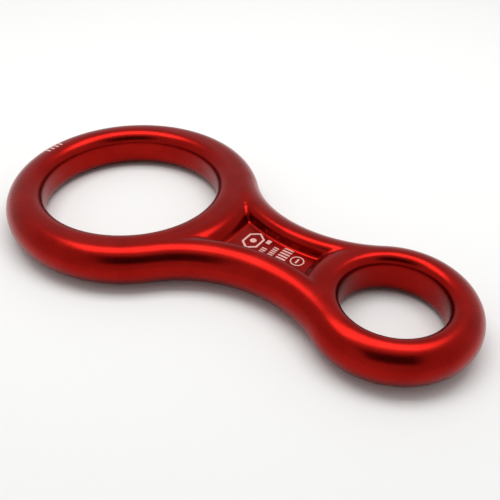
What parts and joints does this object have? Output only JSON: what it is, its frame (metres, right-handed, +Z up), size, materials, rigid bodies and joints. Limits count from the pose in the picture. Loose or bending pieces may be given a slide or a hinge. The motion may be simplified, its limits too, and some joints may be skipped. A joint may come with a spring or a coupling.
{
  "type": "belay device",
  "caption": "Flat forged figure-eight descender with a large rope ring, a small karabiner eye and a sunken web in the neck between them.",
  "frame": {"origin": "under the middle of the body's box, on the surface it lies on", "axes": "+X from the rope ring to the karabiner eye, +Y across the body, +Z up through its thickness, along both holes"},
  "size_m": [0.15, 0.0774, 0.0125],
  "materials": {
    "red_anodised_body": "deep red anodised, satin",
    "bared_metal_marks": "laser-bared aluminium, matt"
  },
  "bodies": {
    "root": {"forged_body": "red_anodised_body", "web_laser_marks": "bared_metal_marks", "rim_laser_marks": "bared_metal_marks"}
  },
  "joints": []
}
